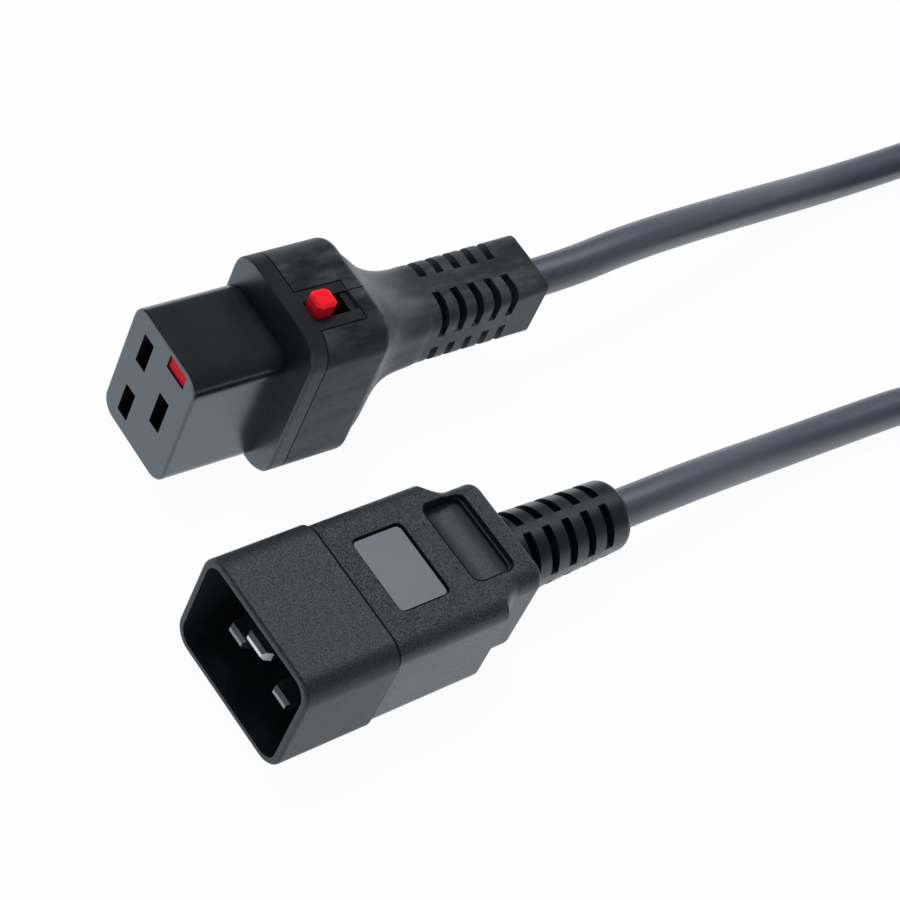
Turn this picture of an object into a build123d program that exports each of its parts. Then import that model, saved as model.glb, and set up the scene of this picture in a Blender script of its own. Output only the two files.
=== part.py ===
from build123d import *
import math
import os

# Locking power cord: a 16 A rack connector with a sliding release at one end, a 16 A rack plug at the
# other, and the round three-core cord between them. Both ends lie on a surface, side by side.
# Millimetres. X runs from the mouths towards the cord, Y away from the viewer, Z up.
# The connector's own frame has its origin in the mouth plane, midway between the rows of contacts.
# The plug's own frame has its origin in the rim plane, on the surface that the plug lies on.

# Contact pattern, shared by the connector and the plug
CONTACT_PITCH = 13.0
EARTH_OFFSET = 8.0
BLADE_T = 2.0
LINE_BLADE_W = 5.0
EARTH_BLADE_W = 6.0

# Cord
CORD_D = 7.4
CORE_D = 2.6
CONDUCTOR_D = 1.5
CORE_SPREAD = 1.55

# Connector nose and mouth
NOSE_L = 18.5
NOSE_W = 19.8
NOSE_H = 26.9
NOSE_R = 3.5
NOSE_Y = -0.3
NOSE_Z = 0.3
NOSE_EDGE = 0.5
SLOT_W = 3.0
LINE_SLOT_H = 6.7
EARTH_SLOT_H = 7.5
MOUTH_T = 1.6
CHAMBER_W = 4.4
CHAMBER_H = 7.6

# Connector collar: the front band belongs to the housing, the rest to the overmould
COLLAR_L = 17.0
COLLAR_W = 25.6
COLLAR_H = 34.9
COLLAR_R = 5.5
COLLAR_Y = -2.6
COLLAR_BELOW = 0.45
COLLAR_EDGE = 0.5
COLLAR_BACK_R = 1.8
BAND_L = 3.0
SEAM_W = 0.24
SEAM_DEPTH = 0.4
PARTING_Y = -4.6

# Flare behind the collar: distance back, share of the way out to the collar in y and z, corner radius
FLARE_INSET = 1.1
FLARE = [
    (-1.0, 1.0, 1.0, 5.6),
    (3.0, 0.74, 0.67, 6.0),
    (6.5, 0.37, 0.34, 6.0),
    (11.0, 0.12, 0.11, 5.5),
    (16.5, 0.0, 0.0, 4.5),
]

# Connector strain relief
RELIEF_L = 27.0
RELIEF_W = 14.8
RELIEF_H = 15.4
RELIEF_END_W = 13.6
RELIEF_END_R = 1.6
RELIEF_Y = -1.4
RELIEF_Z = 3.9
RELIEF_EDGE = 0.6
SLIT_FIRST = 2.0
SLIT_PITCH = 3.975
SLIT_W = 1.7
SLIT_COUNT = 5
SPINE_TOP_W = 3.8
SPINE_SIDE_W = 2.8
SLIT_WALL = 1.0

# Release slider, its channel and the tongue of the housing that carries it
RUN = 0.1
SLIDER_TRAVEL = 3.4
ARM_Y = -4.45
ARM_W = 5.1
ARM_Z = 9.75
ARM_T = 2.75
ARM_SETBACK = 0.35
RAIL_DROP = 0.85
RAIL_FRONT = 5.0
RAIL_BACK = 16.2
BUTTON_L = 4.0
BUTTON_W = 4.0
BUTTON_Y = -6.6
BUTTON_UP = 2.8
BUTTON_FOOT = 1.4
BUTTON_BEVEL = 0.6
BUTTON_CORNER = 0.7
BUTTON_GAP = 0.5
TONGUE_L = 9.5
TONGUE_W = 8.5
TONGUE_Y = -6.55
RECESS_L = 9.1
RECESS_W = 4.3
RECESS_DEPTH = 0.45
RECESS_R = 0.4
GUIDE_WALL = 1.3

# Toothed pawl that grips the edge of the earth blade
PAWL_T = 2.4
PAWL_SIDE = 0.15
PIVOT_X = 5.0
PIVOT_Z = 6.6
PIVOT_D = 1.2
PIVOT_RUN = 0.05
PIVOT_SEAT = 1.0
HUB_D = 3.0
PAWL_LIFT_DEG = 6.0
BITE = 0.3
TOOTH_X = 4.0
TOOTH_PITCH = 0.9
TOOTH_COUNT = 4
TOOTH_H = 0.7
PAWL_TOP = 0.4
HORN_X = 9.0
HORN_UP = 4.3
HORN_W = 1.2
PEG_D = 0.9
PEG_L = 3.9
RAMP_GAP = 0.1
LOCK_FRONT = 2.2

# Pawl spring
SPRING_X = 3.3
SPRING_D = 2.3
SPRING_WIRE = 0.36
SPRING_TURNS = 4.0
SPRING_GAP = 0.02

# Connector contacts and the carrier behind them
CONTACT_FRONT = 3.2
CONTACT_GRIP = 1.9
LEAF_T = 0.6
LINE_LEAF_H = 6.2
EARTH_LEAF_H = 5.0
EARTH_LEAF_DOWN = 0.5
FORK_ROOT = 2.5
FORK_CLEAR = 1.8
TAIL_T = 1.2
TAIL_H = 2.4
CARRIER_T = 4.0
CARRIER_SEAT = 1.5
CARRIER_W = 15.0
CARRIER_LOW = -10.5
CARRIER_TOP = 7.9
BARREL_D = 3.2
BARREL_L = 4.5
BARREL_GAP = 0.6
CORE_LEAD = 3.5
CORE_BEND = 3.0
CORE_RUN = 14.9

# Plug shroud
SHROUD_L = 18.5
SHROUD_W = 30.0
SHROUD_H = 22.8
SHROUD_R = 4.2
SHROUD_LIP = 0.6
CAVITY_W = 27.3
CAVITY_H = 20.2
CAVITY_R = 3.0
SHROUD_FLOOR = 0.5
BRIDGE_L = 6.5
BRIDGE_W = 24.0
BRIDGE_H = 17.4
BRIDGE_R = 2.5

# Plug body
BODY_L = 33.5
BODY_W = 28.8
BODY_H = 21.6
BODY_R = 3.4
BODY_EDGE = 1.2
WAIST_W = 22.6
REAR_L = 5.7
WAIST = [(4.3, 1.0), (3.2, 0.64), (1.9, 0.27), (0.0, 0.0)]
LABEL_X = 4.8
LABEL_L = 10.7
LABEL_W = 15.5
LABEL_Y = 0.25
LABEL_R = 1.4
LABEL_DEPTH = 0.45
LABEL_GROOVE_W = 0.45
LABEL_GROOVE_DEPTH = 0.45
GRIP_BACK = 4.3
GRIP_L = 8.6
GRIP_W = 16.7
GRIP_Y = 0.85
GRIP_R = 1.7
GRIP_DEPTH = 2.6
GRIP_SAG = 1.0
LEDGE_DEPTH = 0.85
LEDGE_W = 0.45

# Plug blades
LINE_TIP_X = 4.55
EARTH_TIP_X = 1.3
LINE_TIP_W = 3.5
EARTH_TIP_W = 4.0
TIP_TAPER = 1.6
BLADE_STUB = 2.5

# Plug strain relief
SLEEVE_L = 28.0
SLEEVE_D = 15.0
SLEEVE_END_D = 13.0
SLEEVE_EDGE = 1.4
RING_FIRST = 3.7
RING_PITCH = 4.43
RING_W = 1.8
RING_COUNT = 5
NUB_W = 1.7
RIB_W = 2.2
PLUG_CORE_RUN = 10.0

# How the two ends lie
CONNECTOR_X = -33.3
CONNECTOR_Y = 28.2
PLUG_X = -45.2
PLUG_Y = -23.42
PLUG_TURN = 1.8

# Cord routes from each strain relief towards the coil, after the first straight stretch
LEAD_OUT = 11.5
ROUTE_A = [
    (73.0, 28.7, 17.1),
    (93.0, 30.9, 14.6),
    (116.0, 33.8, 10.2),
    (139.0, 36.7, 5.6),
    (160.0, 38.3, 3.8),
    (180.0, 39.0, 4.2),
    (200.0, 36.6, 9.6),
    (217.5, 29.2, 18.2),
    (230.7, 17.9, 25.0),
]
ROUTE_B = [
    (61.5, -19.4, 9.6),
    (82.0, -17.6, 5.7),
    (104.0, -16.6, 3.75),
    (127.0, -16.8, 3.7),
    (147.0, -26.2, 3.7),
    (168.2, -46.8, 3.7),
]
COIL_X = 200.0
COIL_Y = -15.0
COIL_OUTER_R = 45.0
COIL_INNER_R = 32.8
COIL_LAYERS = 4

# Derived places along the connector
BAND_END = NOSE_L + BAND_L
COLLAR_END = NOSE_L + COLLAR_L
RELIEF_START = COLLAR_END + FLARE[-1][0]
RELIEF_END = RELIEF_START + RELIEF_L
CONNECTOR_UP = NOSE_H / 2 - NOSE_Z + COLLAR_BELOW
COLLAR_Z = COLLAR_H / 2 - CONNECTOR_UP
COLLAR_TOP = COLLAR_Z + COLLAR_H / 2
CARRIER_X = BAND_END - CARRIER_SEAT
TONGUE_END = BAND_END + TONGUE_L
BUTTON_X = BAND_END + BUTTON_GAP
LINE_Y = EARTH_OFFSET / 2
EARTH_Y = -EARTH_OFFSET / 2
CHANNEL_TOP = ARM_Z + ARM_T + RUN
TAIL_START = CARRIER_X - FORK_CLEAR
BARREL_X = CARRIER_X + CARRIER_T + BARREL_GAP
JACKET_X = BARREL_X + BARREL_L + CORE_RUN

# Derived places along the plug
PLUG_Z = SHROUD_H / 2
BODY_END = SHROUD_L + BODY_L
SLEEVE_END = BODY_END + SLEEVE_L
PLUG_BARREL_X = SHROUD_L + BRIDGE_L + BLADE_STUB
PLUG_JACKET_X = PLUG_BARREL_X + BARREL_L + PLUG_CORE_RUN

CONNECTOR = Location((CONNECTOR_X, CONNECTOR_Y, CONNECTOR_UP))
PLUG = Location((PLUG_X, PLUG_Y, 0), (0, 0, PLUG_TURN))


def block(x0, x1, y0, y1, z0, z1):
    """A box between its limits."""
    middle = Pos((x0 + x1) / 2, (y0 + y1) / 2, (z0 + z1) / 2)
    return middle * Box(x1 - x0, y1 - y0, z1 - z0)


def across(x, y, z):
    """The plane across the X axis, with its own x along Y and its own y along Z."""
    return Plane(origin=(x, y, z), x_dir=(0, 1, 0), z_dir=(1, 0, 0))


def slot(x0, x1, y, z, width, height):
    """A straight slot along X, centred on y and z."""
    return block(x0, x1, y - width / 2, y + width / 2, z - height / 2, z + height / 2)


def bar(x0, x1, width, height, radius, y, z):
    """A bar of rounded rectangular section along X."""
    return extrude(across(x0, y, z) * RectangleRounded(width, height, radius), amount=x1 - x0)


def rod(x0, x1, diameter, y, z):
    """A round rod along X."""
    return extrude(across(x0, y, z) * Circle(diameter / 2), amount=x1 - x0)


def side_profile(points, y0, y1):
    """A plate cut to a profile of x, z points, standing between two values of y."""
    plane = Plane(origin=(0, y1, 0), x_dir=(1, 0, 0), z_dir=(0, -1, 0))
    return extrude(plane * make_face(Polyline(*points, close=True)), amount=y1 - y0)


def plan_pocket(x, y, length, width, radius, z, depth):
    """A flat pocket with rounded corners, cut downwards from z."""
    outline = Pos(x, y, z - depth) * RectangleRounded(length, width, radius)
    return extrude(outline, amount=depth + 2)


def front_edges(solid):
    return solid.faces().sort_by(Axis.X)[0].edges()


def back_edges(solid):
    return solid.faces().sort_by(Axis.X)[-1].edges()


def loft_along(sections, ruled=False):
    """A skin through rounded rectangles: x, y, z, width, height, corner radius."""
    outlines = [across(x, y, z) * RectangleRounded(w, h, r) for x, y, z, w, h, r in sections]
    return loft(outlines, ruled=ruled)


def quadrant_slits(x_list, width, y, z, keep_y, keep_z, reach, core_d):
    """Slits across a strain relief at four corners, leaving spines of two widths and a round core."""
    cuts = []
    for x in x_list:
        for sy in (-1, 1):
            for sz in (-1, 1):
                ys = sorted((y + sy * keep_y / 2, y + sy * reach))
                zs = sorted((z + sz * keep_z / 2, z + sz * reach))
                cuts.append(block(x, x + width, ys[0], ys[1], zs[0], zs[1]))
    core = rod(x_list[0] - 1, x_list[-1] + width + 1, core_d, y, z)
    return [cut - core for cut in cuts]


def core_path(start, end, lead, bend):
    """A core's way from its crimp to the cut end of the jacket: straight, across, straight."""
    second = (start[0] + lead, start[1], start[2])
    third = (end[0] - lead, end[1], end[2])
    return FilletPolyline(start, second, third, end, radius=bend)


def tube(path, diameter):
    """A round tube along a path."""
    return sweep((path ^ 0) * Circle(diameter / 2), path=path)


# Connector


def collar_bar(x0, x1):
    return bar(x0, x1, COLLAR_W, COLLAR_H, COLLAR_R, COLLAR_Y, COLLAR_Z)


def tongue_form():
    """The part of the housing that runs back inside the collar and shows as a panel on its top."""
    x1 = TONGUE_END
    low = ARM_Z - RUN - GUIDE_WALL
    high = CHANNEL_TOP + GUIDE_WALL
    near = TONGUE_Y - TONGUE_W / 2
    far = ARM_Y + ARM_W / 2 + RUN + GUIDE_WALL
    guide = block(CARRIER_X, x1, near, far, low, high)
    panel = block(CARRIER_X, x1, near, near + TONGUE_W, high, COLLAR_TOP + 1)
    return (guide + panel) & collar_bar(CARRIER_X, x1)


def seam_cuts():
    """Shallow grooves where the overmould meets the housing, and the parting line behind them."""
    x1 = BAND_END + SEAM_W
    outer = bar(BAND_END - 1, x1, COLLAR_W + 2, COLLAR_H + 2, COLLAR_R + 1, COLLAR_Y, COLLAR_Z)
    width, height = COLLAR_W - 2 * SEAM_DEPTH, COLLAR_H - 2 * SEAM_DEPTH
    inner = bar(BAND_END - 2, x1 + 1, width, height, COLLAR_R - SEAM_DEPTH, COLLAR_Y, COLLAR_Z)
    near = TONGUE_Y - TONGUE_W / 2 - SEAM_W
    far = TONGUE_Y + TONGUE_W / 2 + SEAM_W
    low = COLLAR_TOP - SEAM_DEPTH
    panel = block(BAND_END - 1, TONGUE_END + SEAM_W, near, far, low, COLLAR_TOP + 1)
    y0, y1 = PARTING_Y - SEAM_W / 2, PARTING_Y + SEAM_W / 2
    parting = block(TONGUE_END, COLLAR_END - COLLAR_BACK_R / 2, y0, y1, low, COLLAR_TOP + 1)
    return [outer - inner, panel, parting]


def carrier_form():
    half = CARRIER_W / 2
    return block(CARRIER_X, CARRIER_X + CARRIER_T, -half, half, CARRIER_LOW, CARRIER_TOP)


def pawl_place():
    """The middle of the pawl's thickness and its pivot."""
    return PIVOT_X, EARTH_Y, PIVOT_Z


def connector_housing():
    nose = bar(0, NOSE_L + 1, NOSE_W, NOSE_H, NOSE_R, NOSE_Y, NOSE_Z)
    nose = fillet(front_edges(nose), NOSE_EDGE)
    band = collar_bar(NOSE_L, BAND_END)
    band = chamfer(front_edges(band), COLLAR_EDGE)
    body = nose + band + tongue_form()
    cuts = []
    rows = [
        (LINE_Y, CONTACT_PITCH / 2, LINE_SLOT_H),
        (LINE_Y, -CONTACT_PITCH / 2, LINE_SLOT_H),
        (EARTH_Y, 0, EARTH_SLOT_H),
    ]
    for y, z, slot_h in rows:
        cuts.append(slot(-1, MOUTH_T + 1, y, z, SLOT_W, slot_h))
        cuts.append(slot(MOUTH_T, CARRIER_X, y, z, CHAMBER_W, CHAMBER_H))
    cuts.append(block(CARRIER_X, BAND_END + 1, -CARRIER_W / 2, CARRIER_W / 2, CARRIER_LOW, CARRIER_TOP))
    half = ARM_W / 2 + RUN
    slot_end = BUTTON_X + BUTTON_L + SLIDER_TRAVEL + RUN
    cuts.append(block(-1, slot_end, ARM_Y - half, ARM_Y + half, ARM_Z - RUN, CHANNEL_TOP))
    rail_end = RAIL_BACK + SLIDER_TRAVEL
    rail_low = ARM_Z - RAIL_DROP - RUN
    cuts.append(block(RAIL_FRONT - RUN, rail_end + RUN, ARM_Y - half, ARM_Y + half, rail_low, ARM_Z))
    near, far = EARTH_Y - CHAMBER_W / 2, EARTH_Y + CHAMBER_W / 2
    cuts.append(block(LOCK_FRONT, rail_end, near, far, CHAMBER_H / 2 - 0.5, ARM_Z))
    near, far = BUTTON_Y - BUTTON_W / 2 - RUN, BUTTON_Y + BUTTON_W / 2 + RUN
    cuts.append(block(BUTTON_X - RUN, slot_end, near, far, ARM_Z - RUN, COLLAR_TOP + 1))
    recess_x = BUTTON_X - 2 * RUN + RECESS_L / 2
    cuts.append(plan_pocket(recess_x, BUTTON_Y, RECESS_L, RECESS_W, RECESS_R, COLLAR_TOP, RECESS_DEPTH))
    cuts.append(pawl_pin())
    for cut in cuts:
        body = body - cut
    return body


def relief_form():
    slim_y, slim_z = RELIEF_W / 2, RELIEF_H / 2
    wide_y, wide_z = COLLAR_W / 2 - FLARE_INSET, COLLAR_H / 2 - FLARE_INSET
    sections = []
    for back, share_y, share_z, radius in FLARE:
        lean = min(1.0, max(0.0, 1 - back / FLARE[2][0]))
        y = RELIEF_Y + (COLLAR_Y - RELIEF_Y) * lean
        z = RELIEF_Z + (COLLAR_Z - RELIEF_Z) * lean
        width = 2 * (slim_y + share_y * (wide_y - slim_y))
        height = 2 * (slim_z + share_z * (wide_z - slim_z))
        sections.append((COLLAR_END + back, y, z, width, height, radius))
    flare = loft_along(sections)
    last = sections[-1]
    end = (RELIEF_END, RELIEF_Y, RELIEF_Z, RELIEF_END_W, RELIEF_END_W, RELIEF_END_R)
    sleeve = loft_along([last, end], ruled=True)
    sleeve = fillet(back_edges(sleeve), RELIEF_EDGE)
    return flare, sleeve


def connector_overmould():
    collar = collar_bar(BAND_END, COLLAR_END)
    collar = fillet(back_edges(collar), COLLAR_BACK_R)
    flare, sleeve = relief_form()
    first = RELIEF_START + SLIT_FIRST
    places = [first + SLIT_PITCH * i for i in range(SLIT_COUNT)]
    slits = quadrant_slits(
        places, SLIT_W, RELIEF_Y, RELIEF_Z, SPINE_TOP_W, SPINE_SIDE_W, RELIEF_H, CORD_D + 2 * SLIT_WALL
    )
    for slit in slits:
        sleeve = sleeve - slit
    body = collar + flare + sleeve
    body = body - tongue_form() - carrier_form()
    for seam in seam_cuts():
        body = body - seam
    for solid in connector_contacts() + connector_cores() + [connector_jacket()]:
        body = body - solid
    return body


def contact_carrier():
    body = carrier_form()
    for solid in connector_contacts():
        body = body - solid
    return body


def contact(y, z, leaf_h, leaf_z):
    """A forked contact with flared lips, a flat tail and a crimp barrel."""
    half = CONTACT_GRIP / 2 + LEAF_T
    fork = slot(CONTACT_FRONT, TAIL_START, y, leaf_z, 2 * half, leaf_h)
    gap_end = TAIL_START - FORK_ROOT
    fork = fork - slot(CONTACT_FRONT - 1, gap_end, y, leaf_z, CONTACT_GRIP, leaf_h + 2)
    inner = fork.edges().filter_by(Axis.Z).group_by(Axis.X)[0]
    inner = [e for e in inner if abs(e.center().Y - y) < half - 0.1]
    fork = chamfer(inner, LEAF_T * 0.6)
    tail = slot(TAIL_START, BARREL_X + 1, y, z, TAIL_T, TAIL_H)
    barrel = rod(BARREL_X, BARREL_X + BARREL_L, BARREL_D, y, z)
    bore = rod(BARREL_X + 1.2, BARREL_X + BARREL_L, CONDUCTOR_D, y, z)
    return fork + tail + barrel - bore


def line_contact():
    return contact(LINE_Y, CONTACT_PITCH / 2, LINE_LEAF_H, CONTACT_PITCH / 2)


def neutral_contact():
    return contact(LINE_Y, -CONTACT_PITCH / 2, LINE_LEAF_H, -CONTACT_PITCH / 2)


def earth_contact():
    return contact(EARTH_Y, 0, EARTH_LEAF_H, -EARTH_LEAF_DOWN)


def connector_contacts():
    return [line_contact(), neutral_contact(), earth_contact()]


def core_ends(x, y, z, y_sign, angles):
    """Where the three cores leave the jacket, spread evenly about its axis."""
    ends = []
    for angle in angles:
        a = math.radians(angle)
        ends.append((x, y + y_sign * CORE_SPREAD * math.cos(a), z + CORE_SPREAD * math.sin(a)))
    return ends


def core(start, end):
    """An insulated core with its bared conductor inside the crimp."""
    wire = tube(core_path(start, end, CORE_LEAD, CORE_BEND), CORE_D)
    bare = rod(start[0] - BARREL_L + 1.2, start[0], CONDUCTOR_D, start[1], start[2])
    return wire + bare


def connector_cores():
    x = BARREL_X + BARREL_L
    starts = [(x, LINE_Y, CONTACT_PITCH / 2), (x, LINE_Y, -CONTACT_PITCH / 2), (x, EARTH_Y, 0)]
    ends = core_ends(JACKET_X, RELIEF_Y, RELIEF_Z, 1, (60, -60, 180))
    return [core(s, e) for s, e in zip(starts, ends)]


def connector_jacket():
    return rod(JACKET_X, RELIEF_END, CORD_D, RELIEF_Y, RELIEF_Z)


# Release and lock


def release_slider():
    y0, y1 = ARM_Y - ARM_W / 2, ARM_Y + ARM_W / 2
    top = ARM_Z + ARM_T
    back = BUTTON_X + BUTTON_L
    arm = block(ARM_SETBACK, back, y0, y1, ARM_Z, top)
    drop = block(RAIL_FRONT, RAIL_BACK, y0, y1, ARM_Z - RAIL_DROP, ARM_Z)
    near, far = BUTTON_Y - BUTTON_W / 2, BUTTON_Y + BUTTON_W / 2
    foot = COLLAR_TOP - BUTTON_FOOT
    riser = block(BUTTON_X, back, near, far, ARM_Z, foot)
    cap = block(BUTTON_X, back, near, far, foot, COLLAR_TOP + BUTTON_UP)
    cap = chamfer(cap.edges().filter_by(Axis.Z), BUTTON_CORNER)
    cap = chamfer(cap.faces().sort_by(Axis.Z)[-1].edges(), BUTTON_BEVEL, BUTTON_BEVEL * 0.6)
    body = arm + drop + riser + cap
    x, y, z = pawl_place()
    peg_x, peg_z = x + HORN_X, z + HORN_UP
    swing = math.radians(PAWL_LIFT_DEG)
    rise = HORN_X * math.sin(swing) - HORN_UP * (1 - math.cos(swing))
    draw = HORN_UP * math.sin(swing) + HORN_X * (1 - math.cos(swing))
    slope = rise / (SLIDER_TRAVEL + draw)
    under = peg_z - PEG_D / 2 * math.hypot(1, slope) - RAMP_GAP
    high_x = peg_x - SLIDER_TRAVEL - draw - PEG_D / 2 - 0.15
    low_x = peg_x + PEG_D
    wall_x = low_x + 0.5
    notch = side_profile(
        [
            (high_x, top + 1),
            (high_x, under + slope * (peg_x - high_x)),
            (low_x, under - slope * PEG_D),
            (wall_x, under - slope * PEG_D),
            (wall_x, top + 1),
        ],
        y0 - 1,
        y1 + 1,
    )
    window_half = PAWL_T / 2 + PAWL_SIDE
    window = block(ARM_SETBACK + 2.6, wall_x, y - window_half, y + window_half, ARM_Z - 2, top + 1)
    return body - notch - window


def tooth_points(x0, tip_z):
    """Saw teeth that let a blade in and hold it: a long front slope and a steep back."""
    points = []
    for i in range(TOOTH_COUNT):
        x = x0 + TOOTH_PITCH * i
        points.append((x, tip_z + TOOTH_H))
        points.append((x + TOOTH_PITCH * 0.85, tip_z))
    points.append((x0 + TOOTH_PITCH * TOOTH_COUNT, tip_z + TOOTH_H))
    return points


def lock_pawl():
    x, y, z = pawl_place()
    tip_z = EARTH_BLADE_W / 2 - BITE
    y0, y1 = y - PAWL_T / 2, y + PAWL_T / 2
    horn_front = x + HORN_X - HORN_W / 2
    horn_back = x + HORN_X + HORN_W / 2
    seat = z - PAWL_TOP
    outline = [(x, z + HUB_D / 2 - 0.05), (x + 1.3, seat), (horn_front, seat), (horn_front, z + HORN_UP)]
    outline += [(horn_back, z + HORN_UP), (horn_back, tip_z + 2.1)]
    outline += list(reversed(tooth_points(x + TOOTH_X, tip_z)))
    outline += [(x, z - HUB_D / 2 + 0.05)]
    plate = side_profile(outline, y0, y1)
    hub = Pos(x, y, z) * Cylinder(HUB_D / 2, PAWL_T, rotation=(90, 0, 0))
    peg = Pos(x + HORN_X, y, z + HORN_UP) * Cylinder(PEG_D / 2, PEG_L, rotation=(90, 0, 0))
    bore = Pos(x, y, z) * Cylinder(PIVOT_D / 2 + PIVOT_RUN, PAWL_T + 2, rotation=(90, 0, 0))
    return plate + hub + peg - bore


def pawl_pin():
    x, y, z = pawl_place()
    length = CHAMBER_W + 2 * PIVOT_SEAT
    return Pos(x, y, z) * Cylinder(PIVOT_D / 2, length, rotation=(90, 0, 0))


def pawl_spring():
    """A small compression spring between the pawl's back and the roof of the slider's channel."""
    x, y, z = pawl_place()
    low = z - PAWL_TOP + SPRING_WIRE / 2 + SPRING_GAP
    high = CHANNEL_TOP - SPRING_WIRE / 2 - SPRING_GAP
    height = high - low
    coil_r = (SPRING_D - SPRING_WIRE) / 2
    path = Pos(x + SPRING_X, y, low) * Helix(height / SPRING_TURNS, height, coil_r)
    return sweep((path ^ 0) * Circle(SPRING_WIRE / 2), path=path, is_frenet=True)


# Plug


def bridge_form():
    return bar(SHROUD_L - SHROUD_FLOOR, SHROUD_L + BRIDGE_L, BRIDGE_W, BRIDGE_H, BRIDGE_R, 0, PLUG_Z)


def plug_shroud():
    shell = bar(0, SHROUD_L, SHROUD_W, SHROUD_H, SHROUD_R, 0, PLUG_Z)
    cavity = bar(-1, SHROUD_L - SHROUD_FLOOR, CAVITY_W, CAVITY_H, CAVITY_R, 0, PLUG_Z)
    shell = fillet(front_edges(shell), SHROUD_LIP)
    body = shell - cavity + bridge_form()
    for solid in plug_blades():
        body = body - solid
    return body


def blade(y, z, width, tip_x, tip_w):
    """A flat blade with a tapered tip and a round crimp end."""
    half = width / 2
    tip = tip_w / 2
    outline = [
        (tip_x, y - tip),
        (tip_x + TIP_TAPER, y - half),
        (PLUG_BARREL_X, y - half),
        (PLUG_BARREL_X, y + half),
        (tip_x + TIP_TAPER, y + half),
        (tip_x, y + tip),
    ]
    face = make_face(Polyline(*outline, close=True))
    flat = extrude(Pos(0, 0, z - BLADE_T / 2) * face, amount=BLADE_T)
    flat = chamfer(front_edges(flat).filter_by(Axis.Y), BLADE_T * 0.3)
    barrel = rod(PLUG_BARREL_X, PLUG_BARREL_X + BARREL_L, BARREL_D, y, z)
    bore = rod(PLUG_BARREL_X + 1.2, PLUG_BARREL_X + BARREL_L, CONDUCTOR_D, y, z)
    return flat + barrel - bore


def line_blade():
    return blade(-CONTACT_PITCH / 2, PLUG_Z - EARTH_OFFSET / 2, LINE_BLADE_W, LINE_TIP_X, LINE_TIP_W)


def neutral_blade():
    return blade(CONTACT_PITCH / 2, PLUG_Z - EARTH_OFFSET / 2, LINE_BLADE_W, LINE_TIP_X, LINE_TIP_W)


def earth_blade():
    return blade(0, PLUG_Z + EARTH_OFFSET / 2, EARTH_BLADE_W, EARTH_TIP_X, EARTH_TIP_W)


def plug_blades():
    return [line_blade(), neutral_blade(), earth_blade()]


def grip_cut(sign):
    """A finger recess, on the top or the bottom face: a hollowed floor and a narrow ledge at the back."""
    face_z = PLUG_Z + sign * BODY_H / 2
    back = BODY_END - GRIP_BACK
    x = back - GRIP_L / 2
    ledge = Pos(x, GRIP_Y, face_z) * RectangleRounded(GRIP_L, GRIP_W, GRIP_R)
    ledge = extrude(ledge, LEDGE_DEPTH, both=True)
    deep_l = GRIP_L - LEDGE_W
    x = back - LEDGE_W - deep_l / 2
    deep = Pos(x, GRIP_Y, face_z) * RectangleRounded(deep_l, GRIP_W, GRIP_R)
    deep = extrude(deep, GRIP_DEPTH, both=True)
    radius = (deep_l * deep_l / 4 + GRIP_SAG * GRIP_SAG) / (2 * GRIP_SAG)
    axis_z = face_z + sign * (radius - GRIP_DEPTH)
    hollow = Pos(x, GRIP_Y, axis_z) * Cylinder(radius, GRIP_W + 2, rotation=(90, 0, 0))
    return ledge + (deep & hollow)


def label_groove(x, floor_z):
    """The sunk line round the floor of the label recess."""
    less = 2 * LABEL_GROOVE_W
    outer = plan_pocket(x, LABEL_Y, LABEL_L, LABEL_W, LABEL_R, floor_z, LABEL_GROOVE_DEPTH)
    inner_r = LABEL_R - LABEL_GROOVE_W
    inner = plan_pocket(x, LABEL_Y, LABEL_L - less, LABEL_W - less, inner_r, floor_z, LABEL_GROOVE_DEPTH)
    return outer - inner


def plug_seam():
    """The shallow groove where the body meets the shroud."""
    x1 = SHROUD_L + SEAM_W
    outer = bar(SHROUD_L - 1, x1, BODY_W + 2, BODY_H + 2, BODY_R + 1, 0, PLUG_Z)
    width, height = BODY_W - 2 * SEAM_DEPTH, BODY_H - 2 * SEAM_DEPTH
    return outer - bar(SHROUD_L - 2, x1 + 1, width, height, BODY_R - SEAM_DEPTH, 0, PLUG_Z)


def plug_overmould():
    rear_x = BODY_END - REAR_L
    front = bar(SHROUD_L, rear_x - WAIST[0][0], BODY_W, BODY_H, BODY_R, 0, PLUG_Z)
    sections = []
    for ahead, share in WAIST:
        width = WAIST_W + share * (BODY_W - WAIST_W)
        sections.append((rear_x - ahead, 0, PLUG_Z, width, BODY_H, BODY_R))
    waist = loft_along(sections)
    rear = bar(rear_x, BODY_END, WAIST_W, BODY_H, BODY_R, 0, PLUG_Z)
    rear = fillet(back_edges(rear), BODY_EDGE)
    body = front + waist + rear
    top = PLUG_Z + BODY_H / 2
    label_x = SHROUD_L + LABEL_X + LABEL_L / 2
    body = body - plan_pocket(label_x, LABEL_Y, LABEL_L, LABEL_W, LABEL_R, top, LABEL_DEPTH)
    body = body - label_groove(label_x, top - LABEL_DEPTH) - plug_seam()
    body = body - grip_cut(1) - grip_cut(-1)
    outline = [across(BODY_END, 0, PLUG_Z) * Circle(SLEEVE_D / 2)]
    outline.append(across(SLEEVE_END, 0, PLUG_Z) * Circle(SLEEVE_END_D / 2))
    sleeve = loft(outline, ruled=True)
    sleeve = fillet(back_edges(sleeve), SLEEVE_EDGE)
    first = BODY_END + RING_FIRST
    places = [first + RING_PITCH * i for i in range(RING_COUNT)]
    rings = quadrant_slits(places, RING_W, 0, PLUG_Z, NUB_W, RIB_W, SLEEVE_D, CORD_D + 2 * SLIT_WALL)
    for ring in rings:
        sleeve = sleeve - ring
    body = body + sleeve
    body = body - bridge_form()
    for solid in plug_blades() + plug_cores() + [plug_jacket()]:
        body = body - solid
    return body


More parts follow.
